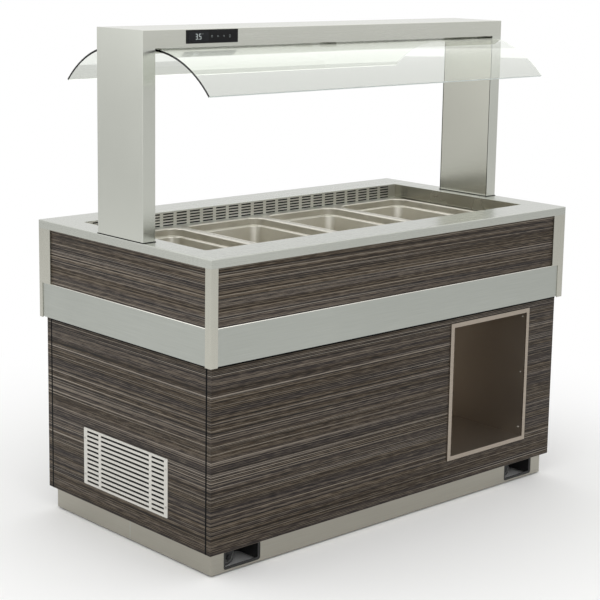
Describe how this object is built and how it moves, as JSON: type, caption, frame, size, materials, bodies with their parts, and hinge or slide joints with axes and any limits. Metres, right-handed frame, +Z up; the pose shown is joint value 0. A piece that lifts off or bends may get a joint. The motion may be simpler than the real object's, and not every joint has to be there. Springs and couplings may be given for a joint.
{
  "type": "buffet display case",
  "caption": "Mobile refrigerated buffet counter with lift-out gastronorm pans, portal canopy with curved glass, plate niche and laminate body on casters.",
  "frame": {"origin": "on the floor under the middle of the worktop", "axes": "+X along the length to the right seen from the front, -Y to the front with the plate niche, +Z up"},
  "size_m": [1.5, 0.82, 1.5],
  "materials": {
    "brushed_steel": "satin brushed stainless steel",
    "well_steel": "bright stainless steel",
    "niche_steel": "polished stainless steel in shade",
    "laminate": "dark grey brown laminate with fine stripes",
    "white_paint": "off-white powder coat",
    "screw_steel": "zinc plated",
    "frame_paint": "galvanised and painted sheet",
    "foam": "rigid foam",
    "zinc": "bright zinc",
    "tyre": "rubber tread on a grey core",
    "glass": "clear tempered glass",
    "black_plastic": "black",
    "display": "black glass",
    "opal": "opal",
    "copper": "copper tube",
    "compressor_paint": "black enamel",
    "fin_aluminium": "thin fins",
    "brass": "cast brass",
    "red_plastic": "dipped lever"
  },
  "bodies": {
    "cabinet": {"air_intake_wall": "well_steel", "air_outlet_wall": "well_steel", "cable_gland": "black_plastic", "canopy_shell": "brushed_steel", "canopy_soffit": "brushed_steel", "caster_plates": "zinc", "chassis_frame": "frame_paint", "column_covers": "brushed_steel", "column_left": "brushed_steel", "column_right": "brushed_steel", "compressor": "compressor_paint", "condenser_coil": "fin_aluminium", "condenser_fan_housing": "frame_paint", "control_panel": "display", "corner_posts": "brushed_steel", "drain_valve": "brass", "electrical_box": "frame_paint", "end_bands": "brushed_steel", "evaporator_coil": "fin_aluminium", "evaporator_fan_deck": "frame_paint", "front_panel": "laminate", "glass_clamps": "black_plastic", "glass_front": "glass", "glass_rear": "glass", "grille_screws": "screw_steel", "lamp_diffuser": "opal", "left_panel": "laminate", "long_bands": "brushed_steel", "machine_floor": "frame_paint", "machine_grille": "white_paint", "niche_liner": "niche_steel", "niche_trim": "brushed_steel", "pan_dividers": "well_steel", "plinth_ends": "brushed_steel", "plinth_sides": "brushed_steel", "rear_panel": "laminate", "refrigerant_lines": "copper", "right_panel": "laminate", "tub_casing": "frame_paint", "tub_insulation": "foam", "upper_end_panels": "laminate", "upper_long_panels": "laminate", "well_liner": "well_steel", "worktop": "brushed_steel"},
    "pan_1": {"gn_pan_1": "well_steel"},
    "pan_2": {"gn_pan_2": "well_steel"},
    "pan_3": {"gn_pan_3": "well_steel"},
    "pan_4": {"gn_pan_4": "well_steel"},
    "fork_front_left": {"caster_fork_front_left": "zinc"},
    "wheel_front_left": {"caster_wheel_front_left": "tyre"},
    "fork_front_right": {"caster_fork_front_right": "zinc"},
    "wheel_front_right": {"caster_wheel_front_right": "tyre"},
    "fork_rear_left": {"caster_fork_rear_left": "zinc"},
    "wheel_rear_left": {"caster_wheel_rear_left": "tyre"},
    "fork_rear_right": {"caster_fork_rear_right": "zinc"},
    "wheel_rear_right": {"caster_wheel_rear_right": "tyre"},
    "condenser_fan": {"condenser_fan": "black_plastic"},
    "evaporator_fan_left": {"evaporator_fan_left": "black_plastic"},
    "evaporator_fan_right": {"evaporator_fan_right": "black_plastic"},
    "drain_lever": {"drain_lever": "red_plastic"}
  },
  "joints": [
    {"name": "pan_1_lift", "type": "slide", "parent": "cabinet", "child": "pan_1", "axis": [0, 0, 1], "range_m": [0, 0.25]},
    {"name": "pan_2_lift", "type": "slide", "parent": "cabinet", "child": "pan_2", "axis": [0, 0, 1], "range_m": [0, 0.25]},
    {"name": "pan_3_lift", "type": "slide", "parent": "cabinet", "child": "pan_3", "axis": [0, 0, 1], "range_m": [0, 0.25]},
    {"name": "pan_4_lift", "type": "slide", "parent": "cabinet", "child": "pan_4", "axis": [0, 0, 1], "range_m": [0, 0.25]},
    {"name": "swivel_front_left", "type": "hinge", "parent": "cabinet", "child": "fork_front_left", "pos_m": [-0.6015, -0.323, 0.08], "axis": [0, 0, 1], "continuous": true},
    {"name": "roll_front_left", "type": "hinge", "parent": "fork_front_left", "child": "wheel_front_left", "pos_m": [-0.6215, -0.323, 0.0275], "axis": [0, 1, 0], "continuous": true},
    {"name": "swivel_front_right", "type": "hinge", "parent": "cabinet", "child": "fork_front_right", "pos_m": [0.6015, -0.323, 0.08], "axis": [0, 0, 1], "continuous": true},
    {"name": "roll_front_right", "type": "hinge", "parent": "fork_front_right", "child": "wheel_front_right", "pos_m": [0.5815, -0.323, 0.0275], "axis": [0, 1, 0], "continuous": true},
    {"name": "swivel_rear_left", "type": "hinge", "parent": "cabinet", "child": "fork_rear_left", "pos_m": [-0.6015, 0.323, 0.08], "axis": [0, 0, 1], "continuous": true},
    {"name": "roll_rear_left", "type": "hinge", "parent": "fork_rear_left", "child": "wheel_rear_left", "pos_m": [-0.6215, 0.323, 0.0275], "axis": [0, 1, 0], "continuous": true},
    {"name": "swivel_rear_right", "type": "hinge", "parent": "cabinet", "child": "fork_rear_right", "pos_m": [0.6015, 0.323, 0.08], "axis": [0, 0, 1], "continuous": true},
    {"name": "roll_rear_right", "type": "hinge", "parent": "fork_rear_right", "child": "wheel_rear_right", "pos_m": [0.5815, 0.323, 0.0275], "axis": [0, 1, 0], "continuous": true},
    {"name": "condenser_fan_spin", "type": "hinge", "parent": "cabinet", "child": "condenser_fan", "pos_m": [-0.6265, 0, 0.2145], "axis": [1, 0, 0], "continuous": true},
    {"name": "evaporator_fan_left_spin", "type": "hinge", "parent": "cabinet", "child": "evaporator_fan_left", "pos_m": [-0.26, -0.04, 0.699], "axis": [0, 1, 0], "continuous": true},
    {"name": "evaporator_fan_right_spin", "type": "hinge", "parent": "cabinet", "child": "evaporator_fan_right", "pos_m": [0.26, -0.04, 0.699], "axis": [0, 1, 0], "continuous": true},
    {"name": "drain_lever_turn", "type": "hinge", "parent": "cabinet", "child": "drain_lever", "pos_m": [0.06, -0.022, 0.5228], "axis": [0, -1, 0], "range_deg": [0, 90]}
  ]
}
